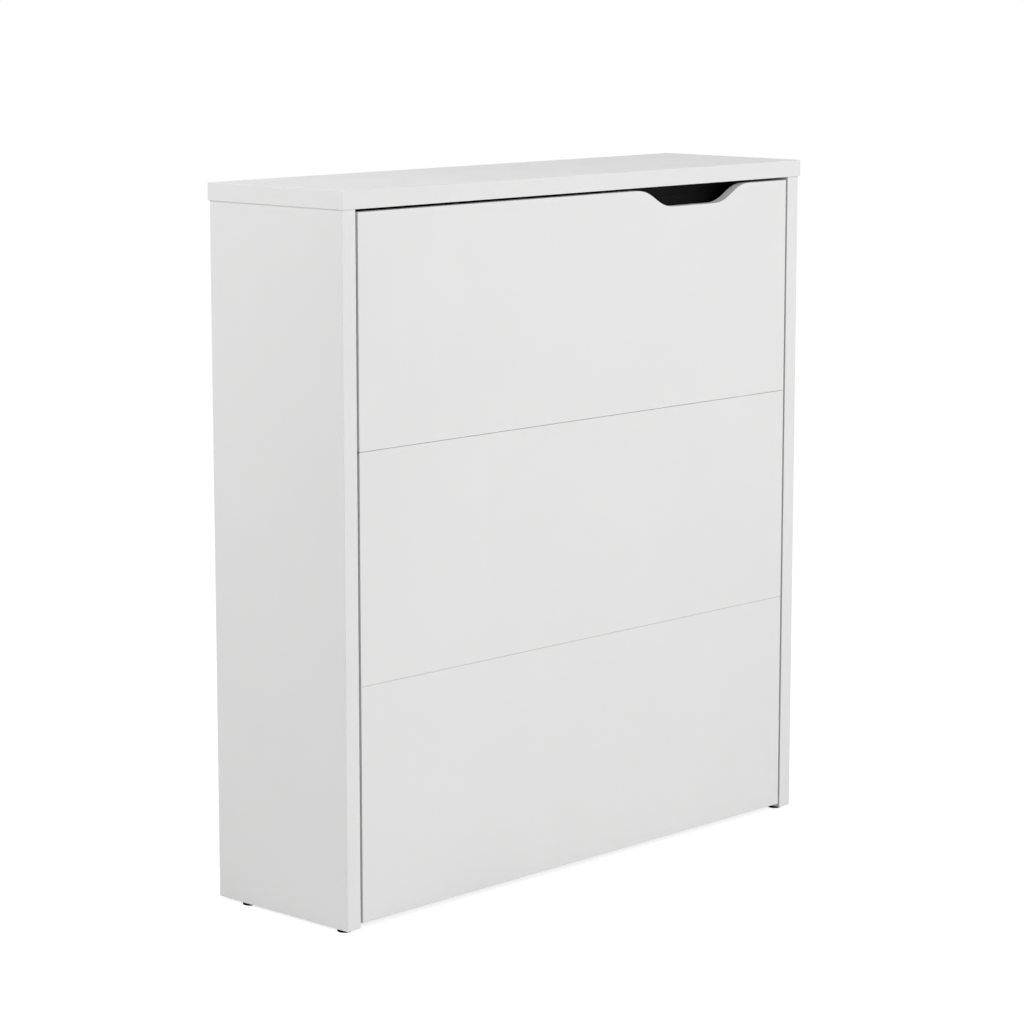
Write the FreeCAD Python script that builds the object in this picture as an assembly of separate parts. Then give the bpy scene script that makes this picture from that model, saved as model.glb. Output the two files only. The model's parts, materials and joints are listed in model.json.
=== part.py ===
# A slim cabinet desk. The upper front board falls forward and becomes the writing surface, and two deep
# drawers on push-to-open slides lie under it. Lengths are in millimetres and angles in degrees. X runs to
# the right, Y to the back and Z up. The origin is on the floor, under the middle of the top board.
import FreeCAD, Part
import math
import os

os.makedirs("parts", exist_ok=True)
Vec = FreeCAD.Vector
X_AXIS = Vec(1, 0, 0)
Y_AXIS = Vec(0, 1, 0)
Z_AXIS = Vec(0, 0, 1)
LEFT = -1
RIGHT = 1

# Cabinet boards
overall_height = 1025.0
body_width = 970.0
body_depth = 265.0
side_thick = 25.0
top_thick = 25.0
top_side_overhang = 2.0
top_front_overhang = 3.0
top_back_overhang = 2.0
panel_edge_radius = 0.8
shelf_thick = 15.0
divider_thick = 18.0
base_thick = 18.0
base_lift = 4.0
board_setback = 5.0
back_thick = 4.0
back_inset = 15.0
back_groove_depth = 6.0
groove_clearance = 0.2
cut_overrun = 2.0

# Front boards
front_thick = 15.0
front_side_gap = 4.0
front_top_gap = 4.5
front_line_gap = 0.35
front_floor_gap = 11.5
lower_front_height = 334.1
upper_front_height = 324.7
front_edge_radius = 0.3
swing_clearance = 0.25
shelf_front_gap = 1.0
flap_open_angle = 90.0

# Finger cut-out in the flap's top edge
pull_centre = 238.7
pull_flat_length = 94.0
pull_depth = 26.5
pull_bend_radius = 65.0
pull_ramp_angle = 30.0

# Insert of pigeonholes
organizer_board = 12.0
organizer_top_room = 6.0
organizer_shelf_share = 0.4
organizer_side_room = 32.0
organizer_front_room = 30.0
organizer_fascia_height = 36.0
organizer_bays = 3
organizer_edge_radius = 0.5

# Cams, bolts and dowels
cam_diameter = 15.0
cam_distance = 34.0
cam_past_axis = 4.5
cam_edge_distance = 40.0
cam_slot_width = 1.6
cam_slot_depth = 2.5
bolt_diameter = 7.0
bolt_thread_diameter = 6.0
bolt_thread_length = 11.0
bolt_end_gap = 0.2
dowel_diameter = 8.0
dowel_in_side = 12.0
dowel_in_board = 18.0
dowel_end_gap = 1.0
fitting_clearance = 0.05

# Glides
glide_diameter = 20.0
glide_height = 5.0
glide_edge_radius = 0.8
glide_stem_diameter = 8.0
glide_stem_length = 20.0
front_glide_inset = 20.0
rear_glide_inset = 50.0

# Flap pivots
pin_diameter = 6.0
pin_in_flap = 24.0
pin_end_gap = 2.0
bush_diameter = 10.0
bush_length = 11.0
running_clearance = 0.05

# Quadrant stays and their guides
stay_radius_share = 0.525
stay_width = 12.0
stay_thick = 3.0
stay_side_room = 10.0
stay_foot_length = 64.0
stay_foot_width = 24.0
stay_foot_margin = 10.0
stay_foot_radius = 5.0
stay_lug_extra = 3.0
stay_lug_length = 10.0
stay_notch_clearance = 2.0
guide_depth = 10.0
guide_height = 46.0
guide_lip = 4.0
guide_clearance = 0.4
guide_foot_gap = 2.0
guide_screw_margin = 7.0
guide_edge_radius = 1.5

# Magnetic catch
catch_width = 46.0
catch_depth = 14.0
catch_height = 13.0
catch_gap = 0.3
catch_screw_margin = 8.0
strike_width = 40.0
strike_height = 12.0
strike_thick = 1.2
strike_edge = 2.0
strike_screw_margin = 7.0

# Wall brackets
bracket_offset = 350.0
bracket_width = 44.0
bracket_back_gap = 3.0
bracket_drop = 34.0
bracket_thick = 2.0
bracket_bend_radius = 1.0
bracket_corner_radius = 4.0
bracket_hole_diameter = 5.5
bracket_hole_margin = 9.0
bracket_hole_drop = 20.0

# Drawer boxes
box_board = 12.0
box_back_room = 21.0
box_lift = 28.0
box_edge_radius = 1.0
upper_box_top_room = 60.1
lower_box_top_room = 17.3
bottom_thick = 5.0
bottom_rise = 10.0
bottom_groove_depth = 5.0

# Drawer slides
slide_gap = 12.7
rail_back_room = 17.0
rail_height = 45.0
rail_wall = 1.2
rail_gap = 0.3
rail_lip_gap = 2.3
rail_setback = 4.0
rail_rise = 100.0
rail_screw_margin = 36.0

# Screws
flat_head_diameter = 6.4
flat_head_depth = 1.9
flat_shank_diameter = 3.2
rail_screw_length = 10.0
box_screw_length = 26.0
front_screw_length = 23.0
foot_screw_length = 14.0
guide_screw_grip = 12.0
organizer_screw_grip = 14.0
pan_head_diameter = 6.5
pan_head_height = 2.2
pan_shank_diameter = 3.2
pan_edge_radius = 1.1
pan_screw_grip = 14.0
recess_span = 3.6
recess_width = 0.8
recess_depth = 1.4
back_screws_per_board = 5
back_screw_margin = 60.0
box_screw_margin = 40.0

# Planes that the pieces share
top_depth = body_depth + top_front_overhang + top_back_overhang
top_half_width = body_width / 2 + top_side_overhang
front_y = -top_depth / 2 + top_front_overhang
back_y = front_y + body_depth
inner_y = front_y + front_thick
outer_x = body_width / 2
inner_x = outer_x - side_thick
front_x = inner_x - front_side_gap
under_top_z = overall_height - top_thick
back_face_y = back_y - back_inset
back_front_y = back_face_y - back_thick
lower_front_top = front_floor_gap + lower_front_height
upper_front_bottom = lower_front_top + front_line_gap
upper_front_top = upper_front_bottom + upper_front_height
flap_bottom = upper_front_top + front_line_gap
flap_top = under_top_z - front_top_gap
pivot_y = front_y + front_thick / 2
pivot_z = flap_bottom + front_thick / 2
swing_radius = front_thick / 2 * math.sqrt(2) + swing_clearance
shelf_top = flap_bottom + front_thick
shelf_bottom = shelf_top - shelf_thick
line_z = lower_front_top + front_line_gap / 2
divider_bottom = line_z - divider_thick / 2
divider_top = divider_bottom + divider_thick
base_bottom = front_floor_gap + base_lift
base_top = base_bottom + base_thick
board_front_y = inner_y + board_setback
shelf_front_y = inner_y + shelf_front_gap
front_cam_y = board_front_y + cam_edge_distance
rear_cam_y = back_front_y - cam_edge_distance
box_x = inner_x - slide_gap
organizer_height = under_top_z - shelf_top - organizer_top_room
stay_radius = (flap_top - flap_bottom) * stay_radius_share
rail_front_y = inner_y + rail_setback
rail_length = back_front_y - rail_back_room - rail_front_y
rail_lip = slide_gap - rail_lip_gap
bracket_leg = top_depth / 2 - back_face_y - bracket_back_gap

pieces = {}
groups = {}
holes = {}


def block(low, high):
    """Box between two corners."""
    size = high - low
    return Part.makeBox(size.x, size.y, size.z, low)


def rod(point, direction, radius, length):
    """Cylinder that starts at a point and runs along a direction."""
    return Part.makeCylinder(radius, length, point, direction)


def round_edges(shape, radius, chosen):
    """Round the edges that a test chooses."""
    return shape.makeFillet(radius, [edge for edge in shape.Edges if chosen(edge)])


def lies_at_y(y):
    """Test for an edge in an upright plane across the cabinet."""
    return lambda edge: max(abs(vertex.Y - y) for vertex in edge.Vertexes) < Part.Precision.confusion()


def is_upright(edge):
    """True for an edge along Z."""
    low, high = edge.BoundBox.ZMin, edge.BoundBox.ZMax
    return high - low > max(edge.BoundBox.XLength, edge.BoundBox.YLength)


def cut_later(node, cutter):
    """Keep a hole, groove or notch for a piece until all of them are known."""
    holes.setdefault(node, []).append(cutter)


def add_to(node, solid):
    """Add a solid to a group of like pieces."""
    groups.setdefault(node, []).append(solid)


def flat_screw_shape(point, direction, length, spare):
    """Countersunk screw, or its hole when spare is a clearance."""
    head_radius = flat_head_diameter / 2 + spare
    shank_radius = flat_shank_diameter / 2 + spare
    head = Part.makeCone(head_radius, shank_radius, flat_head_depth, point, direction)
    shank_length = length - flat_head_depth + spare
    shank = rod(point + direction * flat_head_depth, direction, shank_radius, shank_length)
    return head.fuse(shank).removeSplitter()


def cross_recess(point, direction):
    """Cross for the driver, sunk into a screw's head from its outer face."""
    upright = Z_AXIS if abs(direction.z) < abs(direction.x) + abs(direction.y) else Y_AXIS
    level = direction.cross(upright)
    arms = []
    for along, across in ((upright, level), (level, upright)):
        corner = point - along * (recess_span / 2) - across * (recess_width / 2)
        ends = [corner, corner + along * recess_span, corner + along * recess_span + across * recess_width,
                corner + across * recess_width, corner]
        arms.append(Part.Face(Part.makePolygon(ends)).extrude(direction * recess_depth))
    return arms


def flat_screw(node, point, direction, length, boards):
    """Countersunk screw whose head lies flush at a point, with its hole in each board it passes."""
    screw = flat_screw_shape(point, direction, length, 0)
    add_to(node, screw.cut(cross_recess(point, direction)))
    for board in boards:
        cut_later(board, flat_screw_shape(point, direction, length, fitting_clearance))


def pan_screw(node, point, direction, length, boards):
    """Pan head screw whose head stands on a surface at a point."""
    crown = point - direction * pan_head_height
    head = rod(crown, direction, pan_head_diameter / 2, pan_head_height)
    head = round_edges(head, pan_edge_radius,
                       lambda edge: (edge.BoundBox.Center - crown).Length < pan_edge_radius)
    shank = rod(point, direction, pan_shank_diameter / 2, length)
    add_to(node, head.fuse(shank).removeSplitter().cut(cross_recess(crown, direction)))
    for board in boards:
        hole_radius = pan_shank_diameter / 2 + fitting_clearance
        cut_later(board, rod(point, direction, hole_radius, length + fitting_clearance))


def cam_joint(point, inward, face_normal, board_thick, cam_board, bolt_board):
    """Cam housing in one board, drawing the bolt that is screwed into the other board."""
    centre = point + inward * cam_distance
    face = centre + face_normal * (board_thick / 2)
    depth = board_thick / 2 + cam_past_axis
    cam_radius = cam_diameter / 2
    housing = rod(face, -face_normal, cam_radius - fitting_clearance, depth - fitting_clearance)
    across = inward.cross(face_normal)
    corner = inward * cam_radius + across * (cam_slot_width / 2)
    slot = [face - corner, face + inward * cam_radius - across * (cam_slot_width / 2), face + corner]
    slot.append(face - inward * cam_radius + across * (cam_slot_width / 2))
    slot_face = Part.Face(Part.makePolygon(slot + slot[:1]))
    housing = housing.cut(slot_face.extrude(face_normal * -cam_slot_depth))
    add_to("cam_housings", housing)
    cut_later(cam_board, rod(face, -face_normal, cam_radius, depth))
    shaft_length = cam_distance - cam_radius - bolt_end_gap
    shaft = rod(point, inward, bolt_diameter / 2, shaft_length)
    thread = rod(point, -inward, bolt_thread_diameter / 2, bolt_thread_length)
    add_to("cam_bolts", shaft.fuse(thread).removeSplitter())
    cut_later(cam_board, rod(point, inward, bolt_diameter / 2 + fitting_clearance, cam_distance))
    thread_hole = bolt_thread_diameter / 2 + fitting_clearance
    cut_later(bolt_board, rod(point, -inward, thread_hole, bolt_thread_length + bolt_end_gap))


def dowel_joint(point, inward, board, side):
    """Dowel across a butt joint, in a blind hole at each end."""
    length = dowel_in_side + dowel_in_board
    start = point - inward * dowel_in_side
    add_to("dowels", rod(start, inward, dowel_diameter / 2, length))
    hole_start = start - inward * dowel_end_gap
    hole = rod(hole_start, inward, dowel_diameter / 2 + fitting_clearance, length + dowel_end_gap * 2)
    cut_later(board, hole)
    cut_later(side, hole)


def side_name(side):
    """Name of the side panel on one side."""
    return "left_side_panel" if side == LEFT else "right_side_panel"


def word(side):
    """Left or right, for the names of paired pieces."""
    return "left" if side == LEFT else "right"


def span_x(side, near, far):
    """Lower and upper X of something between two distances from the middle, on one side."""
    return (near, far) if side == RIGHT else (-far, -near)


def side_block(side, near, far, y0, y1, z0, z1):
    """Box between two distances from the middle, on one side."""
    x0, x1 = span_x(side, near, far)
    return block(Vec(x0, y0, z0), Vec(x1, y1, z1))


def ring_sector(inner_radius, outer_radius, start_angle, end_angle, x0, x1):
    """Flat arc about the flap's pivot. Angles count from straight up towards the back."""
    def at(radius, angle):
        turn = math.radians(angle)
        return Vec(x0, pivot_y + radius * math.sin(turn), pivot_z + radius * math.cos(turn))
    middle = (start_angle + end_angle) / 2
    outer = Part.Arc(at(outer_radius, start_angle), at(outer_radius, middle), at(outer_radius, end_angle))
    inner = Part.Arc(at(inner_radius, end_angle), at(inner_radius, middle), at(inner_radius, start_angle))
    tail = Part.LineSegment(at(outer_radius, end_angle), at(inner_radius, end_angle))
    nose = Part.LineSegment(at(inner_radius, start_angle), at(outer_radius, start_angle))
    wire = Part.Wire([curve.toShape() for curve in (outer, tail, inner, nose)])
    return Part.Face(wire).extrude(Vec(x1 - x0, 0, 0))


def swing_cylinder():
    """Space that the flap's lower edge sweeps as it turns."""
    start = Vec(-inner_x, pivot_y, pivot_z)
    return rod(start, X_AXIS, swing_radius, inner_x * 2)


def make_cabinet_boards():
    """Top, sides, shelf, divider, base and back."""
    top_low = Vec(-top_half_width, -top_depth / 2, under_top_z)
    top = block(top_low, Vec(top_half_width, top_depth / 2, overall_height))
    pieces["top_panel"] = round_edges(top, panel_edge_radius, lambda edge: True)
    for side in (LEFT, RIGHT):
        panel = side_block(side, inner_x, outer_x, front_y, back_y, glide_height, under_top_z)
        pieces[side_name(side)] = round_edges(panel, panel_edge_radius, is_upright)
    shelf = block(Vec(-inner_x, shelf_front_y, shelf_bottom), Vec(inner_x, back_front_y, shelf_top))
    pieces["writing_shelf"] = shelf.cut(swing_cylinder())
    divider_low = Vec(-inner_x, board_front_y, divider_bottom)
    divider = block(divider_low, Vec(inner_x, back_front_y, divider_top))
    pieces["drawer_divider"] = round_edges(divider, panel_edge_radius, lies_at_y(board_front_y))
    base_low = Vec(-inner_x, board_front_y, base_bottom)
    base = block(base_low, Vec(inner_x, back_front_y, base_top))
    pieces["base_panel"] = round_edges(base, panel_edge_radius, lies_at_y(board_front_y))
    make_back_panel()


def make_back_panel():
    """Thin back in grooves of the sides and the top, screwed to the rear edges of the boards."""
    reach = back_groove_depth - groove_clearance
    back_low = Vec(-inner_x - reach, back_front_y, base_bottom)
    back_high = Vec(inner_x + reach, back_face_y, under_top_z + reach)
    pieces["back_panel"] = block(back_low, back_high)
    spare = Vec(groove_clearance, groove_clearance, groove_clearance)
    groove = block(back_low - spare, back_high + spare)
    for node in ("left_side_panel", "right_side_panel", "top_panel"):
        cut_later(node, groove)
    run = inner_x * 2 - back_screw_margin * 2
    for board, z in (("writing_shelf", shelf_bottom + shelf_thick / 2), ("drawer_divider", line_z),
                     ("base_panel", base_bottom + base_thick / 2)):
        for index in range(back_screws_per_board):
            x = -run / 2 + run * index / (back_screws_per_board - 1)
            grip = back_thick + pan_screw_grip
            pan_screw("back_screws", Vec(x, back_face_y, z), -Y_AXIS, grip, ("back_panel", board))


def join_cabinet_boards():
    """Cams and dowels at both ends of each board, and between the sides and the top."""
    boards = (("writing_shelf", shelf_bottom, shelf_thick), ("drawer_divider", divider_bottom, divider_thick),
              ("base_panel", base_bottom, base_thick))
    cam_places = (front_cam_y, rear_cam_y)
    middle_y = (front_cam_y + rear_cam_y) / 2
    for side in (LEFT, RIGHT):
        inward = X_AXIS * -side
        for board, bottom, thick in boards:
            z = bottom + thick / 2
            for y in cam_places:
                point = Vec(side * inner_x, y, z)
                cam_joint(point, inward, -Z_AXIS, thick, board, side_name(side))
            dowel_joint(Vec(side * inner_x, middle_y, z), inward, board, side_name(side))
        x = side * (inner_x + side_thick / 2)
        for y in cam_places:
            cam_joint(Vec(x, y, under_top_z), -Z_AXIS, inward, side_thick, side_name(side), "top_panel")
        dowel_joint(Vec(x, middle_y, under_top_z), -Z_AXIS, side_name(side), "top_panel")


def make_organizer():
    """Black insert of pigeonholes that stands on the writing shelf."""
    half = inner_x - organizer_side_room
    front = inner_y + organizer_front_room
    wall_top = shelf_top + organizer_height - organizer_board
    shelf_z = shelf_top + organizer_height * organizer_shelf_share
    for side in (LEFT, RIGHT):
        wall = side_block(side, half - organizer_board, half, front, back_front_y, shelf_top, wall_top)
        pieces["organizer_%s_wall" % word(side)] = wall
        fix_to_shelf("organizer_%s_wall" % word(side), side * (half - organizer_board / 2))
    cover_high = Vec(half, back_front_y, wall_top + organizer_board)
    pieces["organizer_top"] = block(Vec(-half, front, wall_top), cover_high)
    inner_half = half - organizer_board
    fascia_low = Vec(-inner_half, front, wall_top - organizer_fascia_height)
    pieces["organizer_fascia"] = block(fascia_low, Vec(inner_half, front + organizer_board, wall_top))
    fix_to_cover(half, front + organizer_board / 2, wall_top + organizer_board)
    ledge_high = Vec(inner_half, back_front_y, shelf_z + organizer_board)
    pieces["organizer_shelf"] = block(Vec(-inner_half, front, shelf_z), ledge_high)
    bay = (inner_half * 2 - organizer_board * (organizer_bays - 1)) / organizer_bays
    for index in range(1, organizer_bays):
        x0 = -inner_half + bay * index + organizer_board * (index - 1)
        name = "organizer_%s_divider" % ("left" if index == 1 else "right")
        pieces[name] = block(Vec(x0, front, shelf_top), Vec(x0 + organizer_board, back_front_y, shelf_z))
        fix_to_shelf(name, x0 + organizer_board / 2)
    for name in [name for name in pieces if name.startswith("organizer")]:
        pieces[name] = round_edges(pieces[name], organizer_edge_radius, lies_at_y(front))


def fix_to_shelf(board, x):
    """Two screws from under the writing shelf into an upright of the insert, clear of the cams."""
    third = (rear_cam_y - front_cam_y) / 3
    for y in (front_cam_y + third, rear_cam_y - third):
        length = shelf_thick + organizer_screw_grip
        flat_screw("organizer_screws", Vec(x, y, shelf_bottom), Z_AXIS, length, ("writing_shelf", board))


def fix_to_cover(half, fascia_y, cover_z):
    """Screws down through the insert's cover into its walls and its fascia."""
    length = organizer_board + organizer_screw_grip
    for side in (LEFT, RIGHT):
        wall_x = side * (half - organizer_board / 2)
        wall = "organizer_%s_wall" % word(side)
        places = ((wall, wall_x, front_cam_y), (wall, wall_x, rear_cam_y),
                  ("organizer_fascia", side * half / 2, fascia_y))
        for board, x, y in places:
            flat_screw("organizer_screws", Vec(x, y, cover_z), -Z_AXIS, length, ("organizer_top", board))


def make_glides():
    """Black glides under the ends of the side panels, with a stem pressed into the board."""
    for side in (LEFT, RIGHT):
        x = side * (inner_x + side_thick / 2)
        for y in (front_y + front_glide_inset, back_y - rear_glide_inset):
            foot = rod(Vec(x, y, 0), Z_AXIS, glide_diameter / 2, glide_height)
            foot = round_edges(foot, glide_edge_radius, lambda edge: edge.BoundBox.ZMax < glide_height / 2)
            top = Vec(x, y, glide_height)
            stem = rod(top, Z_AXIS, glide_stem_diameter / 2, glide_stem_length)
            add_to("glides", foot.fuse(stem).removeSplitter())
            stem_hole = glide_stem_diameter / 2 + fitting_clearance
            cut_later(side_name(side), rod(top, Z_AXIS, stem_hole, glide_stem_length + dowel_end_gap))


def flap_outline():
    """Closed outline of the flap in its front plane, with the finger cut-out in the top edge."""
    ramp = math.radians(pull_ramp_angle)
    bend_drop = pull_bend_radius * (1 - math.cos(ramp))
    slope = (pull_depth - bend_drop * 2) / math.sin(ramp)
    bend_run = pull_bend_radius * math.sin(ramp)
    reach = bend_run * 2 + slope * math.cos(ramp)
    half_ramp = ramp / 2
    mid_run = pull_bend_radius * math.sin(half_ramp)
    mid_drop = pull_bend_radius * (1 - math.cos(half_ramp))

    def at(distance, drop, side):
        x = pull_centre + side * (pull_flat_length / 2 + reach - distance)
        return Vec(x, front_y, flap_top - drop)

    def end_curves(side):
        mouth = at(0, 0, side)
        brow = at(bend_run, bend_drop, side)
        heel = at(reach - bend_run, pull_depth - bend_drop, side)
        floor = at(reach, pull_depth, side)
        upper = Part.Arc(mouth, at(mid_run, mid_drop, side), brow)
        lower = Part.Arc(heel, at(reach - mid_run, pull_depth - mid_drop, side), floor)
        return [upper, Part.LineSegment(brow, heel), lower], mouth, floor

    left_curves, left_mouth, left_floor = end_curves(LEFT)
    right_curves, right_mouth, right_floor = end_curves(RIGHT)
    corners = [right_mouth, Vec(front_x, front_y, flap_top), Vec(front_x, front_y, flap_bottom),
               Vec(-front_x, front_y, flap_bottom), Vec(-front_x, front_y, flap_top), left_mouth]
    curves = left_curves + right_curves + [Part.LineSegment(left_floor, right_floor)]
    curves += [Part.LineSegment(start, end) for start, end in zip(corners, corners[1:])]
    edges = [curve.toShape() for curve in curves]
    return Part.Wire(Part.__sortEdges__(edges))


def make_flap():
    """Writing flap with its pins, and the bushes that carry them in the side panels."""
    flap = Part.Face(flap_outline()).extrude(Vec(0, front_thick, 0))
    pieces["flap_panel"] = round_edges(flap, front_edge_radius, lies_at_y(front_y))
    for side in (LEFT, RIGHT):
        outward = X_AXIS * side
        pin_start = Vec(side * (front_x - pin_in_flap), pivot_y, pivot_z)
        pin_length = pin_in_flap + front_side_gap + bush_length - pin_end_gap
        add_to("pivot_pins", rod(pin_start, outward, pin_diameter / 2, pin_length))
        pin_hole = rod(pin_start, outward, pin_diameter / 2 + fitting_clearance, pin_in_flap + cut_overrun)
        cut_later("flap_panel", pin_hole)
        seat = Vec(side * inner_x, pivot_y, pivot_z)
        bush = rod(seat, outward, bush_diameter / 2, bush_length)
        bore = rod(seat - outward * cut_overrun, outward, pin_diameter / 2 + running_clearance,
                   bush_length + cut_overrun * 2)
        add_to("pivot_bushes", bush.cut(bore))
        seat_hole = rod(seat, outward, bush_diameter / 2 + fitting_clearance, bush_length + bolt_end_gap)
        cut_later(side_name(side), seat_hole)


def make_stays():
    """Quadrant stays on the flap, the guides that they run through, and the notches that let them pass."""
    near = inner_x - stay_side_room - stay_thick
    far = inner_x - stay_side_room
    inner_radius = stay_radius - stay_width / 2
    outer_radius = stay_radius + stay_width / 2
    guide_front = inner_y + stay_thick + guide_foot_gap
    guide_back = guide_front + guide_depth
    lug_inner = inner_radius - stay_lug_extra
    lug_outer = outer_radius + stay_lug_extra
    lug_reach = guide_back + guide_clearance - pivot_y
    lug_start = math.degrees(math.asin(lug_reach / lug_inner)) + flap_open_angle
    lug_end = lug_start + math.degrees(stay_lug_length / stay_radius)
    guide_turn = math.asin((guide_front + guide_depth / 2 - pivot_y) / stay_radius)
    guide_z = pivot_z + stay_radius * math.cos(guide_turn)
    foot_z = pivot_z + stay_radius
    for side in (LEFT, RIGHT):
        x0, x1 = span_x(side, near, far)
        arc = ring_sector(inner_radius, outer_radius, 0, lug_end, x0, x1)
        lug = ring_sector(lug_inner, lug_outer, lug_start, lug_end, x0, x1)
        foot_near = far - stay_foot_width
        foot = side_block(side, foot_near, far, inner_y, inner_y + stay_thick,
                          foot_z - stay_foot_length / 2, foot_z + stay_foot_length / 2)
        free_x = side * foot_near
        foot = round_edges(foot, stay_foot_radius,
                           lambda edge: edge.BoundBox.YLength > stay_thick / 2
                           and abs(edge.BoundBox.Center.x - free_x) < stay_thick)
        board = block(Vec(-inner_x, front_y, flap_bottom), Vec(inner_x, inner_y, flap_top))
        stay = arc.fuse([lug, foot]).cut(board).removeSplitter()
        pieces["%s_quadrant_stay" % word(side)] = stay
        for end in (-1, 1):
            head = Vec(side * (foot_near + stay_foot_width / 3), inner_y + stay_thick,
                       foot_z + end * (stay_foot_length / 2 - stay_foot_margin))
            stay_boards = ("%s_quadrant_stay" % word(side), "flap_panel")
            flat_screw("flap_screws", head, -Y_AXIS, foot_screw_length, stay_boards)
        guide = side_block(side, near - guide_lip, inner_x, guide_front, guide_back,
                           guide_z - guide_height / 2, guide_z + guide_height / 2)
        face_x = side * (near - guide_lip)
        guide = round_edges(guide, guide_edge_radius,
                            lambda edge: abs(edge.BoundBox.Center.x - face_x) < guide_edge_radius)
        slot = ring_sector(inner_radius - guide_clearance, outer_radius + guide_clearance, 0,
                           flap_open_angle / 2, x0 - guide_clearance, x1 + guide_clearance)
        add_to("stay_guides", guide.cut(slot))
        make_guide_screws(side, near - guide_lip, guide_front + guide_depth / 2, guide_z)
        notch_front = pivot_y + lug_inner - stay_notch_clearance
        notch_back = pivot_y + lug_outer + stay_notch_clearance
        notch = side_block(side, near - stay_notch_clearance, inner_x, notch_front, notch_back,
                           shelf_bottom - cut_overrun, shelf_top + cut_overrun)
        cut_later("writing_shelf", notch)


def make_guide_screws(side, head_x, y, z):
    """Two screws through a stay guide into the side panel."""
    length = inner_x - head_x + guide_screw_grip
    for end in (-1, 1):
        point = Vec(side * head_x, y, z + end * (guide_height / 2 - guide_screw_margin))
        flat_screw("guide_screws", point, X_AXIS * side, length, ("stay_guides", side_name(side)))


def make_catch():
    """Magnetic catch under the top and its strike plate on the flap."""
    plate_top = flap_top - strike_edge
    plate_low = Vec(-strike_width / 2, inner_y, plate_top - strike_height)
    pieces["strike_plate"] = block(plate_low, Vec(strike_width / 2, inner_y + strike_thick, plate_top))
    catch_front = inner_y + strike_thick + catch_gap
    catch_low = Vec(-catch_width / 2, catch_front, under_top_z - catch_height)
    catch_high = Vec(catch_width / 2, catch_front + catch_depth, under_top_z)
    body = block(catch_low, catch_high)
    pieces["magnetic_catch"] = round_edges(body, panel_edge_radius, is_upright)
    for end in (-1, 1):
        plate_x = end * (strike_width / 2 - strike_screw_margin)
        plate_point = Vec(plate_x, inner_y + strike_thick, plate_top - strike_height / 2)
        flat_screw("flap_screws", plate_point, -Y_AXIS, foot_screw_length, ("strike_plate", "flap_panel"))
        catch_x = end * (catch_width / 2 - catch_screw_margin)
        point = Vec(catch_x, catch_front + catch_depth / 2, under_top_z - catch_height)
        length = catch_height + pan_screw_grip
        pan_screw("catch_screws", point, Z_AXIS, length, ("magnetic_catch", "top_panel"))


def make_wall_brackets():
    """Steel angles under the back of the top, with two holes each for screws into the wall."""
    rear = top_depth / 2
    for side in (LEFT, RIGHT):
        low_x = side * bracket_offset - bracket_width / 2
        high_x = low_x + bracket_width
        corner = Vec(high_x, rear, under_top_z)
        flat_leg = block(Vec(low_x, rear - bracket_leg, under_top_z - bracket_thick), corner)
        drop_leg = block(Vec(low_x, rear - bracket_thick, under_top_z - bracket_drop), corner)
        angle = flat_leg.fuse(drop_leg).removeSplitter()
        inner_bend = Vec(side * bracket_offset, rear - bracket_thick, under_top_z - bracket_thick)
        angle = round_edges(angle, bracket_bend_radius,
                            lambda edge: (edge.BoundBox.Center - inner_bend).Length < bracket_thick / 2)
        outer_bend = Vec(side * bracket_offset, rear, under_top_z)
        angle = round_edges(angle, bracket_bend_radius + bracket_thick,
                            lambda edge: (edge.BoundBox.Center - outer_bend).Length < bracket_thick / 2)
        low_z = under_top_z - bracket_drop
        angle = round_edges(angle, bracket_corner_radius,
                            lambda edge: edge.BoundBox.YLength > bracket_thick / 2
                            and edge.BoundBox.ZMax < low_z + bracket_thick / 2)
        middle_y = rear - bracket_thick - (bracket_leg - bracket_thick) / 2
        for end in (-1, 1):
            x = side * bracket_offset + end * (bracket_width / 2 - bracket_hole_margin)
            start = Vec(x, rear - bracket_thick - cut_overrun, under_top_z - bracket_hole_drop)
            hole = rod(start, Y_AXIS, bracket_hole_diameter / 2, bracket_thick + cut_overrun * 2)
            angle = angle.cut(hole)
            point = Vec(x, middle_y, under_top_z - bracket_thick)
            grip = bracket_thick + pan_screw_grip
            pan_screw("bracket_screws", point, Z_AXIS, grip, ("wall_brackets", "top_panel"))
        add_to("wall_brackets", angle)


def channel(side, web_near, web_far, lip_near, lip_far, half_height, y0, z):
    """Steel rail of one slide: an upright web with a flange at its top and bottom."""
    y1 = y0 + rail_length
    web = side_block(side, web_near, web_far, y0, y1, z - half_height, z + half_height)
    upper = side_block(side, lip_near, lip_far, y0, y1, z + half_height - rail_wall, z + half_height)
    lower = side_block(side, lip_near, lip_far, y0, y1, z - half_height, z - half_height + rail_wall)
    return web.fuse([upper, lower]).removeSplitter()


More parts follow.
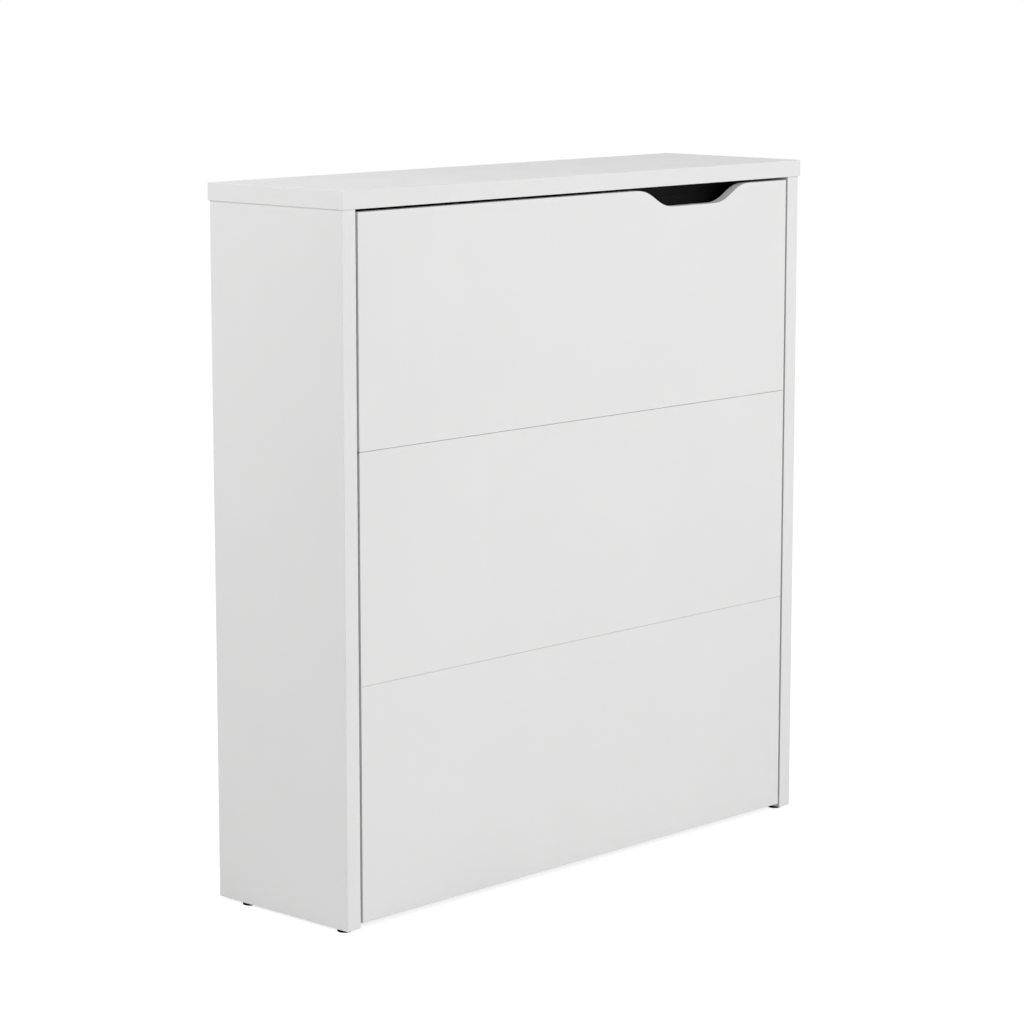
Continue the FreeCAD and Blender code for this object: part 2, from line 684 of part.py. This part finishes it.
def make_slide(level, side, z):
    """Cabinet rail, middle rail and drawer rail between a side panel and a drawer box."""
    y0 = rail_front_y
    step = rail_wall + rail_gap
    outer_half = rail_height / 2
    name = "%s_%s_" % (level, word(side))
    pieces[name + "cabinet_rail"] = channel(side, inner_x - rail_wall, inner_x, inner_x - rail_lip, inner_x,
                                            outer_half, y0, z)
    pieces[name + "middle_rail"] = channel(side, inner_x - step - rail_wall, inner_x - step,
                                           inner_x - rail_lip, inner_x - step, outer_half - step, y0, z)
    pieces[name + "drawer_rail"] = channel(side, box_x, box_x + rail_wall, box_x, inner_x - step * 2,
                                           outer_half - step * 2, y0, z)
    for end in (-1, 1):
        y = y0 + rail_length / 2 + end * (rail_length / 2 - rail_screw_margin)
        outward = X_AXIS * side
        cabinet_point = Vec(side * (inner_x - rail_wall), y, z)
        flat_screw("rail_screws", cabinet_point, outward, rail_screw_length,
                   (name + "cabinet_rail", side_name(side)))
        drawer_point = Vec(side * (box_x + rail_wall), y, z)
        flat_screw("%s_drawer_screws" % level, drawer_point, -outward, rail_screw_length,
                   (name + "drawer_rail", "%s_drawer_%s_side" % (level, word(side))))


def soften_rim(board, top):
    """Round the two long edges at the top of a drawer box's board."""
    def is_rim(edge):
        box = edge.BoundBox
        return box.ZMin > top - box_edge_radius and max(box.XLength, box.YLength) > box_board * 2
    return round_edges(board, box_edge_radius, is_rim)


def make_drawer(level, front_bottom, front_top, box_top):
    """Drawer: a front board on a box of four boards and a thin bottom."""
    prefix = level + "_drawer_"
    front = block(Vec(-front_x, front_y, front_bottom), Vec(front_x, inner_y, front_top))
    pieces[prefix + "front"] = round_edges(front, front_edge_radius, lies_at_y(front_y))
    z0 = front_bottom + box_lift
    z1 = box_top
    rear = back_front_y - box_back_room
    clear_x = box_x - box_board
    for side in (LEFT, RIGHT):
        wall = side_block(side, clear_x, box_x, inner_y, rear, z0, z1)
        pieces[prefix + word(side) + "_side"] = soften_rim(wall, z1)
        make_slide(level, side, z0 + rail_rise)
    ends = ((prefix + "box_front", inner_y), (prefix + "back", rear - box_board))
    for name, y in ends:
        pieces[name] = soften_rim(block(Vec(-clear_x, y, z0), Vec(clear_x, y + box_board, z1)), z1)
        for side in (LEFT, RIGHT):
            for z in (z0 + box_screw_margin, z1 - box_screw_margin):
                point = Vec(side * box_x, y + box_board / 2, z)
                flat_screw(prefix + "screws", point, X_AXIS * -side, box_screw_length,
                           (prefix + word(side) + "_side", name))
    for side in (LEFT, RIGHT):
        for z in (z0 + box_screw_margin, z1 - box_screw_margin):
            point = Vec(side * clear_x / 2, inner_y + box_board, z)
            boards = (prefix + "box_front", prefix + "front")
            flat_screw(prefix + "screws", point, -Y_AXIS, front_screw_length, boards)
    make_drawer_bottom(prefix, z0 + bottom_rise, rear, clear_x)


def make_drawer_bottom(prefix, z, rear, clear_x):
    """Thin bottom in a groove round the inside of the drawer box."""
    reach = bottom_groove_depth - groove_clearance
    low = Vec(-clear_x - reach, inner_y + box_board - reach, z)
    high = Vec(clear_x + reach, rear - box_board + reach, z + bottom_thick)
    pieces[prefix + "bottom"] = block(low, high)
    spare = Vec(groove_clearance, groove_clearance, groove_clearance)
    groove = block(low - spare, high + spare)
    for name in ("left_side", "right_side", "box_front", "back"):
        cut_later(prefix + name, groove)


def finish_pieces():
    """Cut the kept holes and write one file for each node."""
    cut_later("upper_drawer_front", swing_cylinder())
    shapes = dict(pieces)
    for node, solids in groups.items():
        shapes[node] = Part.makeCompound(solids)
    for node in sorted(shapes):
        shape = shapes[node]
        if node in holes:
            shape = shape.cut(holes[node])
        shape.exportStep("parts/%s.step" % node)
        print("%-28s solids %2d  volume %10.1f  valid %s"
              % (node, len(shape.Solids), shape.Volume, shape.isValid()))
    print(len(shapes), "nodes")


make_cabinet_boards()
join_cabinet_boards()
make_organizer()
make_glides()
make_flap()
make_stays()
make_catch()
make_wall_brackets()
make_drawer("upper", upper_front_bottom, upper_front_top, shelf_bottom - upper_box_top_room)
make_drawer("lower", front_floor_gap, lower_front_top, divider_bottom - lower_box_top_room)
finish_pieces()
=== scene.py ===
# %% [markdown]
# # A slim cabinet desk
# The real object is a white cabinet, hardly deeper than a bookshelf. Its upper front board falls forward
# and becomes a writing surface, and two deep drawers lie under it. All of its boards and fittings come as
# solid pieces in their true places, grouped in bodies that move. Blender's part is the finish of every
# surface, the camera, the floor and the light.
#
# The pieces arrive in metres, so a thousandth is a millimetre. The box around them is measured before
# anything else is made, because the camera, the floor and the lamps are placed from it.

# %% Load the pieces
import json
import math

import bpy
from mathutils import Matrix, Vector


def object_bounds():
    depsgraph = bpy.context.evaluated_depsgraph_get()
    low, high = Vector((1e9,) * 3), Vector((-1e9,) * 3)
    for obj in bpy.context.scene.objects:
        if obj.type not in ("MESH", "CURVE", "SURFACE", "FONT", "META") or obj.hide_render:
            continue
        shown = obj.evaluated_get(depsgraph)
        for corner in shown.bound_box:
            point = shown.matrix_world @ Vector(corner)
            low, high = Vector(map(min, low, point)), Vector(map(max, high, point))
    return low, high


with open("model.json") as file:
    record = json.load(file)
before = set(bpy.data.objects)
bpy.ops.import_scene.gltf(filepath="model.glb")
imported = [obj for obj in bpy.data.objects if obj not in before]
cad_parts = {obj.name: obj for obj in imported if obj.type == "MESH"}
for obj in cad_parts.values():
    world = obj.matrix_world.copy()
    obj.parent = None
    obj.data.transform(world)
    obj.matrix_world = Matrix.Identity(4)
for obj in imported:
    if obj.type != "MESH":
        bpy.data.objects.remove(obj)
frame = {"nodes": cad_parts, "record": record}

cad_low, cad_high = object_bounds()
desk_size = cad_high - cad_low
desk_centre = (cad_low + cad_high) / 2
scene = bpy.context.scene
print("desk measures %.3f x %.3f x %.3f m" % tuple(desk_size))

# %% [markdown]
# ## Camera
# The photograph looks at the corner between the front and the left side, from a little above the top
# board. The upright edges stay almost parallel, which means a long lens from some way off. A camera could
# be aimed by eye, but here it is turned about the middle of the desk by two angles and then slid a few
# millimetres sideways and up, because those numbers can be read back and changed one at a time.

# %% Place the camera
camera_azimuth = math.radians(-46.58)
camera_elevation = math.radians(9.438)
camera_distance = 4.946
camera_slide_right = -0.0111
camera_slide_up = 0.0066
lens_millimetres = 117.0
sensor_millimetres = 36.0


def direction(azimuth, elevation):
    """Unit vector from the desk towards a viewer.

    Azimuth 0 stands in front of the desk, and elevation counts from level.
    """
    level = math.cos(elevation)
    return Vector((math.sin(azimuth) * level, -math.cos(azimuth) * level, math.sin(elevation)))


def aim(thing, towards):
    """Turn a camera or lamp at its place so that it looks back along a direction."""
    thing.rotation_euler = (-towards).to_track_quat("-Z", "Y").to_euler()


to_camera = direction(camera_azimuth, camera_elevation)
camera_right = Vector((math.cos(camera_azimuth), math.sin(camera_azimuth), 0))
camera_up = to_camera.cross(camera_right)
camera_data = bpy.data.cameras.new("desk_camera")
camera_data.lens = lens_millimetres
camera_data.sensor_width = sensor_millimetres
camera = bpy.data.objects.new("desk_camera", camera_data)
scene.collection.objects.link(camera)
camera.location = (desk_centre + to_camera * camera_distance
                   + camera_right * camera_slide_right + camera_up * camera_slide_up)
aim(camera, to_camera)
scene.camera = camera
scene.view_settings.view_transform = "Standard"
print("camera stands at %.3f, %.3f, %.3f m" % tuple(camera.location))

# %% [markdown]
# ## Building shader nodes from code
# Every finish below is a small tree of shader nodes. Adding a node, setting it and wiring it takes three
# or four lines each time, so a few helpers keep the recipes short. An input is given either a plain value,
# which is set on the socket, or another node's output, which is linked to it.

# %% Helpers for node trees
def give(tree, socket, value):
    """Set an input socket to a value, or link it to another node's output."""
    if isinstance(value, bpy.types.NodeSocket):
        tree.links.new(value, socket)
    else:
        socket.default_value = value


def plug(tree, node, name, value):
    """Give a value or an output to an input that is found by its name or number."""
    give(tree, node.inputs[name], value)


def add_node(tree, kind, inputs, **settings):
    """Add a shader node with its settings and inputs."""
    node = tree.nodes.new("ShaderNode" + kind)
    for name, value in settings.items():
        setattr(node, name, value)
    for name, value in inputs.items():
        plug(tree, node, name, value)
    return node


def combine(tree, operation, first, second):
    """One step of arithmetic on two values."""
    return add_node(tree, "Math", {0: first, 1: second}, operation=operation).outputs["Value"]


def remap(tree, value, low, high, new_low=0.0, new_high=1.0):
    """Carry a value from one range to another and hold it there."""
    inputs = {"Value": value, "From Min": low, "From Max": high, "To Min": new_low, "To Max": new_high}
    return add_node(tree, "MapRange", inputs).outputs["Result"]


def blend_colours(tree, mask, under, over):
    """Colour that goes from one to the other as the mask goes from 0 to 1."""
    node = add_node(tree, "Mix", {"Factor": mask}, data_type="RGBA")
    colour_inputs = [socket for socket in node.inputs if socket.type == "RGBA"]
    for socket, shade in zip(colour_inputs, (under, over)):
        give(tree, socket, shade)
    return next(socket for socket in node.outputs if socket.type == "RGBA")


def colour(red, green, blue):
    """Linear colour as a node socket takes it."""
    return (red, green, blue, 1.0)


def grey(level):
    """Linear grey as a node socket takes it."""
    return colour(level, level, level)


print("helpers ready")

# %% [markdown]
# ## White studio
# The desk was photographed on pure white. More light would burn out a white cabinet long before the paper
# behind it turned white, so the background is white by itself: to the camera, and to rays that mirror or
# pass through something, the world shows a strength of 1. Every other ray meets a dimmer world, which is
# the soft light of the room. The floor needs the same split, so one function makes both.

# %% White world
room_light = 0.30
white_strength = 1.0
paper_white = grey(1.0)


def split_rays(tree, lighting, shown):
    """Let one shader light the scene and another be seen, as the kind of ray asks."""
    rays = add_node(tree, "LightPath", {}).outputs
    seen = combine(tree, "MAXIMUM", rays["Is Camera Ray"], rays["Is Glossy Ray"])
    seen = combine(tree, "MAXIMUM", seen, rays["Is Transmission Ray"])
    return add_node(tree, "MixShader", {0: seen, 1: lighting, 2: shown}).outputs["Shader"]


world = bpy.data.worlds.new("white_studio")
scene.world = world
world.use_nodes = True
world_tree = world.node_tree
world_tree.nodes.clear()
room = add_node(world_tree, "Background", {"Color": paper_white, "Strength": room_light})
paper = add_node(world_tree, "Background", {"Color": paper_white, "Strength": white_strength})
world_shader = split_rays(world_tree, room.outputs["Background"], paper.outputs["Background"])
add_node(world_tree, "OutputWorld", {"Surface": world_shader})
print("room light", room_light, "behind a white of", white_strength)

# %% [markdown]
# ## Floor
# The floor has two jobs. It throws soft light back up under the desk, as any pale floor does, and it takes
# the desk's shadow. For the camera most of its white is its own glow, and the rest is paint that the lamps
# light. In the open the two add up to white, and where the desk stands in the light the paint goes
# a little grey.

# %% Lay the floor
floor_reach = 7.0
floor_bounce = 0.70
floor_glow = 0.77
floor_paint = 0.57

bpy.ops.mesh.primitive_plane_add(size=floor_reach, location=(desk_centre.x, desk_centre.y, cad_low.z))
floor = bpy.context.object
floor.name = "studio_floor"
floor_material = bpy.data.materials.new("studio_floor")
floor_material.use_nodes = True
floor_tree = floor_material.node_tree
floor_tree.nodes.clear()
bounce = add_node(floor_tree, "BsdfDiffuse", {"Color": grey(floor_bounce)})
paint = add_node(floor_tree, "BsdfDiffuse", {"Color": grey(floor_paint)})
glow = add_node(floor_tree, "Emission", {"Color": paper_white, "Strength": floor_glow})
shown = add_node(floor_tree, "AddShader", {0: paint.outputs["BSDF"], 1: glow.outputs["Emission"]})
floor_shader = split_rays(floor_tree, bounce.outputs["BSDF"], shown.outputs["Shader"])
add_node(floor_tree, "OutputMaterial", {"Surface": floor_shader})
floor.data.materials.append(floor_material)
print("floor lies at %.4f m" % cad_low.z)

# %% [markdown]
# ## Lamps
# In the photograph the front is the lightest face, the top a little darker and the left side darker again,
# and none of them has a hard highlight. The front is lit evenly from top to bottom, while the left side
# darkens downwards, and the finger cut-out and the gap under the top board stay dark. So the key is far
# off, which makes it even, and high, so that the top board shades what lies behind the front. A weak low
# lamp lifts the lower front, and the left side has a near lamp high up towards its rear. Each lamp is
# placed by the direction that it shines from, which is easier to judge than coordinates. They are hidden
# from the camera, since other views look past them.

# %% Hang the lamps
lamp_side = 2.6


def soft_box(name, azimuth, elevation, distance, watts):
    """Large square lamp that looks at the middle of the desk. Angles are in degrees."""
    data = bpy.data.lights.new(name, "AREA")
    data.shape = "SQUARE"
    data.size = lamp_side
    data.energy = watts
    lamp = bpy.data.objects.new(name, data)
    scene.collection.objects.link(lamp)
    towards = direction(math.radians(azimuth), math.radians(elevation))
    lamp.location = desk_centre + towards * distance
    aim(lamp, towards)
    lamp.visible_camera = False
    print("%s: %.0f W from %.0f, %.0f degrees, %.1f m off" % (name, watts, azimuth, elevation, distance))


soft_box("front_key", azimuth=12, elevation=32, distance=6.0, watts=140)
soft_box("low_front_fill", azimuth=12, elevation=8, distance=3.6, watts=29)
soft_box("left_side_lamp", azimuth=-110, elevation=35, distance=3.6, watts=69)

# %% [markdown]
# ## Effects that several finishes share
# A finish looks real when nothing about it is perfectly even. Four effects return in most of the
# materials, so each is a node group with named inputs, built once and given other values in every
# material. Three of them are made of noise, whose size is given in metres. Noise mostly stays between
# a quarter and three quarters, so it is spread out to swing from -1 to 1 where it has to go both ways.
#
# The first effect is a drift of colour: no board, casting or plating has exactly one shade all over.

# %% Colour drift
noise_low = 0.25
noise_high = 0.75


def new_group(name, inputs, outputs):
    """Empty shader node group.

    Inputs are name, socket type and default. Outputs are name and socket type.
    """
    tree = bpy.data.node_groups.new(name, "ShaderNodeTree")
    for label, kind, default in inputs:
        socket = tree.interface.new_socket(label, in_out="INPUT", socket_type="NodeSocket" + kind)
        socket.default_value = default
    for label, kind in outputs:
        tree.interface.new_socket(label, in_out="OUTPUT", socket_type="NodeSocket" + kind)
    given = tree.nodes.new("NodeGroupInput").outputs
    result = tree.nodes.new("NodeGroupOutput").inputs
    print("group", name, "gives", ", ".join(label for label, kind in outputs))
    return tree, given, result


def object_place(tree):
    """Place on the piece in metres, which stays with the piece when it moves."""
    return add_node(tree, "TexCoord", {}).outputs["Object"]


def noise(tree, place, size, **details):
    """Noise whose patches have about the given size."""
    scale = combine(tree, "DIVIDE", 1.0, size)
    return add_node(tree, "TexNoise", {"Vector": place, "Scale": scale, **details}).outputs["Fac"]


def swing(tree, value):
    """Noise spread out from -1 to 1."""
    return remap(tree, value, low=noise_low, high=noise_high, new_low=-1.0, new_high=1.0)


drift_group, given, result = new_group(
    "colour_drift",
    (("Colour", "Color", grey(0.5)), ("Amount", "Float", 0.02), ("Patch", "Float", 0.1)),
    (("Colour", "Color"),))
patches = noise(drift_group, object_place(drift_group), given["Patch"], Detail=4.0, Roughness=0.55)
change = combine(drift_group, "MULTIPLY", swing(drift_group, patches), given["Amount"])
gain = combine(drift_group, "ADD", change, 1.0)
drifted = add_node(drift_group, "VectorMath", {0: given["Colour"], "Scale": gain}, operation="SCALE")
drift_group.links.new(drifted.outputs["Vector"], result["Colour"])

# %% [markdown]
# The second is a fine relief. Laminate has a faint orange peel, moulds leave a grain, and rolled or brushed
# metal has lines. All of them are noise of the right size, stretched where the finish has a direction.

# %% Fine relief
no_stretch = (1.0, 1.0, 1.0)

relief_group, given, result = new_group(
    "fine_relief",
    (("Grain", "Float", 0.001), ("Stretch", "Vector", no_stretch)),
    (("Height", "Float"),))
stretched = add_node(relief_group, "VectorMath", {0: object_place(relief_group), 1: given["Stretch"]},
                     operation="MULTIPLY")
grains = noise(relief_group, stretched.outputs["Vector"], given["Grain"], Detail=3.0, Roughness=0.6)
relief_group.links.new(grains, result["Height"])

# %% [markdown]
# The third finds edges. Metal is rubbed smoother and black plastic paler along an edge, and a board's
# edging strip has a shade of its own. The Bevel node rounds normals near an edge, so the angle between its
# normal and the plain one is large only there.

# %% Edge mask
edge_turn_full = 0.80
edge_turn_none = 0.99

edge_group, given, result = new_group(
    "edge_mask", (("Width", "Float", 0.001),), (("Mask", "Float"),))
rounded = add_node(edge_group, "Bevel", {"Radius": given["Width"]}, samples=4)
plain = add_node(edge_group, "NewGeometry", {})
likeness = add_node(edge_group, "VectorMath", {0: rounded.outputs["Normal"], 1: plain.outputs["Normal"]},
                    operation="DOT_PRODUCT")
edge = remap(edge_group, likeness.outputs["Value"], low=edge_turn_full, high=edge_turn_none,
             new_low=1.0, new_high=0.0)
edge_group.links.new(edge, result["Mask"])

# %% [markdown]
# The fourth is the history of hands and cloths: soft patches where a surface is a little more or less
# shiny. It hardly shows in plain light, but it breaks up a reflection as the camera moves.

# %% Wiped sheen
sheen_group, given, result = new_group(
    "wiped_sheen",
    (("Roughness", "Float", 0.4), ("Spread", "Float", 0.05), ("Patch", "Float", 0.06)),
    (("Roughness", "Float"),))
wipes = noise(sheen_group, object_place(sheen_group), given["Patch"], Detail=5.0, Distortion=0.6)
change = combine(sheen_group, "MULTIPLY", swing(sheen_group, wipes), given["Spread"])
wiped = combine(sheen_group, "ADD", given["Roughness"], change)
sheen_group.links.new(wiped, result["Roughness"])

# %% [markdown]
# ## Materials
# Each finish in the record gets one material of the same name, and the black laminate a second, deeper
# one, which is painted shade for the boards behind the finger cut-out. The helpers below start a material
# and place the shared groups in it.

# %% Start a material
finishes = {}


def start_finish(name):
    """New material for one finish, with its shader ready."""
    material = bpy.data.materials.new(name)
    material.use_nodes = True
    finishes[name] = material
    print("finish", name)
    tree = material.node_tree
    return tree, tree.nodes["Principled BSDF"]


def place_group(tree, group, inputs):
    """Put a shared effect into a material with its own values."""
    return add_node(tree, "Group", inputs, node_tree=group)


def drift(tree, base, amount, patch):
    """Colour with a slow drift over the surface."""
    inputs = {"Colour": base, "Amount": amount, "Patch": patch}
    return place_group(tree, drift_group, inputs).outputs["Colour"]


def relief(tree, grain, stretch=no_stretch):
    """Height of a fine grain."""
    return place_group(tree, relief_group, {"Grain": grain, "Stretch": stretch}).outputs["Height"]


def edges(tree, width):
    """Mask of the piece's edges."""
    return place_group(tree, edge_group, {"Width": width}).outputs["Mask"]


def sheen(tree, roughness, spread, patch):
    """Roughness with wiped patches."""
    inputs = {"Roughness": roughness, "Spread": spread, "Patch": patch}
    return place_group(tree, sheen_group, inputs).outputs["Roughness"]


def emboss(tree, shader, height, depth, strength):
    """Turn a height into a bumped normal. Depth is in metres."""
    bump = add_node(tree, "Bump", {"Height": height, "Distance": depth, "Strength": strength})
    plug(tree, shader, "Normal", bump.outputs["Normal"])


print("ready for the finishes")

# %% [markdown]
# ### White laminate
# The cabinet and its fronts are particle board with a satin white face. Close up such a face has a faint
# orange peel of about a millimetre, and its edging strips are a touch greyer. In the photograph it is
# a neutral white with no sheen line, so the roughness is near the middle.

# %% White laminate
def make_white_board():
    tree, shader = start_finish("white_board")
    face = drift(tree, colour(0.800, 0.800, 0.797), amount=0.012, patch=0.16)
    strip = colour(0.770, 0.771, 0.772)
    border = edges(tree, width=0.0012)
    plug(tree, shader, "Base Color", blend_colours(tree, border, face, strip))
    plug(tree, shader, "Roughness", sheen(tree, roughness=0.46, spread=0.05, patch=0.09))
    emboss(tree, shader, relief(tree, grain=0.0009), depth=0.00006, strength=0.35)


make_white_board()

# %% [markdown]
# ### Black laminate
# The insert of pigeonholes is black, so the finger cut-out looks into darkness. Its laminate is pressed
# with long wood pores that run along the boards, and its edges are worn to a dark grey. What shows behind
# the cut-out lies in deep shade and stays nearly black, darker than these lamps leave it. So the two boards
# there, the fascia and the insert's top, get the same laminate in a deeper and duller black, which is
# painted shade. One function makes both, and only tone and gloss differ.

# %% Black laminate
blue_lift = 1.05
along_boards = (0.06, 1.0, 1.0)


def bluish_black(level):
    """Black with a trace of blue."""
    return colour(level, level, level * blue_lift)


def make_black_laminate(name, tone, worn_tone, gloss):
    tree, shader = start_finish(name)
    face = drift(tree, bluish_black(tone), amount=0.20, patch=0.05)
    worn = bluish_black(worn_tone)
    border = edges(tree, width=0.0008)
    plug(tree, shader, "Base Color", blend_colours(tree, border, face, worn))
    plug(tree, shader, "Roughness", sheen(tree, roughness=0.58, spread=0.06, patch=0.07))
    plug(tree, shader, "Specular IOR Level", gloss)
    pores = relief(tree, grain=0.0006, stretch=along_boards)
    emboss(tree, shader, pores, depth=0.0003, strength=0.45)


make_black_laminate("black_board", tone=0.014, worn_tone=0.036, gloss=0.35)
# A darker and duller copy of the black laminate: painted shade for the boards behind the cut-out.
make_black_laminate("painted_shade_black_board", tone=0.007, worn_tone=0.014, gloss=0.1)

# %% [markdown]
# ### Hardboard back
# The back is a thin sheet of hardboard. Its inner face is coated black, and its outer face is bare brown
# fibre with the print of the wire screen that it was pressed on. One material covers both: the piece's own
# normal tells which face is meant, and two crossed waves make the screen.

# %% Hardboard back
coat_roughness = 0.55
fibre_roughness = 0.85
screen_scale = 260.0
fuzz_share = 0.4


def make_black_hardboard():
    tree, shader = start_finish("black_hardboard")
    place = add_node(tree, "TexCoord", {})
    facing = add_node(tree, "SeparateXYZ", {"Vector": place.outputs["Normal"]}).outputs["Y"]
    bare = remap(tree, facing, low=0.4, high=0.6)
    coat = drift(tree, colour(0.015, 0.015, 0.016), amount=0.18, patch=0.08)
    fibre = drift(tree, colour(0.215, 0.120, 0.058), amount=0.16, patch=0.03)
    plug(tree, shader, "Base Color", blend_colours(tree, bare, coat, fibre))
    roughness = remap(tree, bare, low=0.0, high=1.0, new_low=coat_roughness, new_high=fibre_roughness)
    plug(tree, shader, "Roughness", roughness)
    wave = {"Vector": place.outputs["Object"], "Scale": screen_scale, "Distortion": 1.2,
            "Detail": 2.0, "Detail Scale": 0.4}
    upright, level = [add_node(tree, "TexWave", wave, bands_direction=axis).outputs["Fac"]
                      for axis in ("X", "Z")]
    screen = combine(tree, "MULTIPLY", combine(tree, "MULTIPLY", upright, level), bare)
    fuzz = combine(tree, "MULTIPLY", relief(tree, grain=0.0012), fuzz_share)
    emboss(tree, shader, combine(tree, "ADD", screen, fuzz), depth=0.0004, strength=0.5)


make_black_hardboard()

# %% [markdown]
# ### Drawer boxes
# Drawer sides are thinner board in a plainer white foil, pressed with a fine linen so that scratches don't
# show. The bottoms are white faced hardboard, a shade warmer and duller.

# %% Drawer boxes
linen_thread = 0.0005
level_lines = (0.15, 0.15, 1.0)
upright_lines = (1.0, 1.0, 0.15)


def make_drawer_board():
    tree, shader = start_finish("drawer_board")
    face = drift(tree, colour(0.745, 0.745, 0.738), amount=0.02, patch=0.10)
    strip = colour(0.70, 0.70, 0.695)
    border = edges(tree, width=0.001)
    plug(tree, shader, "Base Color", blend_colours(tree, border, face, strip))
    plug(tree, shader, "Roughness", sheen(tree, roughness=0.55, spread=0.05, patch=0.08))
    level_threads = relief(tree, linen_thread, level_lines)
    upright_threads = relief(tree, linen_thread, upright_lines)
    linen = combine(tree, "ADD", level_threads, upright_threads)
    emboss(tree, shader, linen, depth=0.00015, strength=0.4)


def make_drawer_bottom_board():
    tree, shader = start_finish("drawer_bottom_board")
    face = drift(tree, colour(0.69, 0.685, 0.67), amount=0.035, patch=0.05)
    plug(tree, shader, "Base Color", face)
    plug(tree, shader, "Roughness", sheen(tree, roughness=0.62, spread=0.06, patch=0.08))
    emboss(tree, shader, relief(tree, grain=0.0015), depth=0.0002, strength=0.4)


make_drawer_board()
make_drawer_bottom_board()

# %% [markdown]
# ### Plastics
# The glides and the catch are moulded in black plastic with the dull grain of a spark eroded mould. The
# glides are pitch black in the photograph although a white floor lies before them, so the plastic has
# hardly any gloss. The pivot bushes and the stay guides are white nylon, which is smoother and lets
# a little light in.

# %% Plastics
def make_black_plastic():
    tree, shader = start_finish("black_plastic")
    face = drift(tree, colour(0.004, 0.004, 0.0042), amount=0.12, patch=0.01)
    rubbed = colour(0.009, 0.009, 0.0093)
    border = edges(tree, width=0.0006)
    plug(tree, shader, "Base Color", blend_colours(tree, border, face, rubbed))
    plug(tree, shader, "Roughness", sheen(tree, roughness=0.52, spread=0.06, patch=0.01))
    plug(tree, shader, "Specular IOR Level", 0.05)
    emboss(tree, shader, relief(tree, grain=0.00035), depth=0.00008, strength=0.5)


def make_white_nylon():
    tree, shader = start_finish("white_nylon")
    face = drift(tree, colour(0.73, 0.725, 0.70), amount=0.03, patch=0.006)
    plug(tree, shader, "Base Color", face)
    plug(tree, shader, "Roughness", sheen(tree, roughness=0.36, spread=0.05, patch=0.008))
    plug(tree, shader, "Subsurface Weight", 0.15)
    plug(tree, shader, "Subsurface Scale", 0.002)
    emboss(tree, shader, relief(tree, grain=0.0005), depth=0.00004, strength=0.4)


make_black_plastic()
make_white_nylon()

# %% [markdown]
# ### Beech dowels
# The dowels sit out of sight in the joints, yet they are pieces of the desk like any other. Beech is pale
# and pinkish with short brown flecks, so a stretched noise gives the fibre and a finer one the flecks.

# %% Beech
long_fibre = (0.08, 1.0, 1.0)
short_fleck = (0.2, 1.0, 1.0)


def make_beech():
    tree, shader = start_finish("beech")
    dark_wood = colour(0.52, 0.33, 0.18)
    pale_wood = colour(0.66, 0.46, 0.28)
    fleck_brown = colour(0.30, 0.16, 0.08)
    fibre = relief(tree, grain=0.0012, stretch=long_fibre)
    wood = blend_colours(tree, remap(tree, fibre, low=0.35, high=0.65), dark_wood, pale_wood)
    specks = relief(tree, grain=0.0007, stretch=short_fleck)
    flecks = remap(tree, specks, low=0.62, high=0.68, new_high=0.7)
    plug(tree, shader, "Base Color", blend_colours(tree, flecks, wood, fleck_brown))
    plug(tree, shader, "Roughness", sheen(tree, roughness=0.6, spread=0.05, patch=0.01))
    emboss(tree, shader, fibre, depth=0.0002, strength=0.4)


make_beech()

# %% [markdown]
# ### Metals
# Four metals are used. The drawer slides are rolled strip with a bright zinc coat, drawn along their
# length. The quadrant stays are flat steel in satin nickel, warmer and brushed. The cams are die cast and
# dull. Screws, bolts, pins and brackets have bright zinc, which shows faint blue and straw patches. One
# function makes them all, because only colour, roughness and the fine relief differ.

# %% Metals
edge_polish = -0.08
along_depth = (1.0, 0.03, 1.0)


def make_metal(name, base, tint, roughness, grain, stretch, depth):
    tree, shader = start_finish(name)
    tone = drift(tree, base, amount=0.06, patch=0.02)
    patches = remap(tree, relief(tree, grain=0.008), low=0.40, high=0.65, new_high=0.5)
    plug(tree, shader, "Base Color", blend_colours(tree, patches, tone, tint))
    plug(tree, shader, "Metallic", 1.0)
    rubbed = combine(tree, "MULTIPLY", edges(tree, width=0.0005), edge_polish)
    wiped = sheen(tree, roughness, spread=0.05, patch=0.02)
    plug(tree, shader, "Roughness", combine(tree, "ADD", wiped, rubbed))
    emboss(tree, shader, relief(tree, grain, stretch), depth, strength=0.35)


make_metal("zinc_rail", base=colour(0.60, 0.61, 0.62), tint=colour(0.66, 0.67, 0.69),
           roughness=0.34, grain=0.0004, stretch=along_depth, depth=0.00004)
make_metal("nickel_steel", base=colour(0.66, 0.63, 0.585), tint=colour(0.62, 0.60, 0.57),
           roughness=0.38, grain=0.0003, stretch=along_depth, depth=0.00003)
make_metal("cast_zinc", base=colour(0.42, 0.42, 0.43), tint=colour(0.36, 0.36, 0.365),
           roughness=0.52, grain=0.0006, stretch=no_stretch, depth=0.0001)
make_metal("zinc_steel", base=colour(0.66, 0.67, 0.69), tint=colour(0.68, 0.665, 0.62),
           roughness=0.34, grain=0.0004, stretch=no_stretch, depth=0.00003)
print(len(finishes), "finishes made")

# %% [markdown]
# ## Dressing the pieces
# The record says which finish every piece has, so one loop gives each piece its material. The material
# goes into the slot that the piece already has, and its shape is left alone. The two boards behind the
# finger cut-out then get their deeper black, which is painted shade.

# %% Give each piece its finish
listed_parts = frame["record"]["subparts"]
for part in listed_parts:
    piece = frame["nodes"][part["node"]]
    for slot in piece.material_slots:
        slot.material = finishes[part["material_slot"]]
# Painted shade: the fascia and the insert's top behind the cut-out get the deeper black.
for name in ("organizer_fascia", "organizer_top"):
    frame["nodes"][name].material_slots[0].material = finishes["painted_shade_black_board"]
print("dressed", len(listed_parts), "pieces")
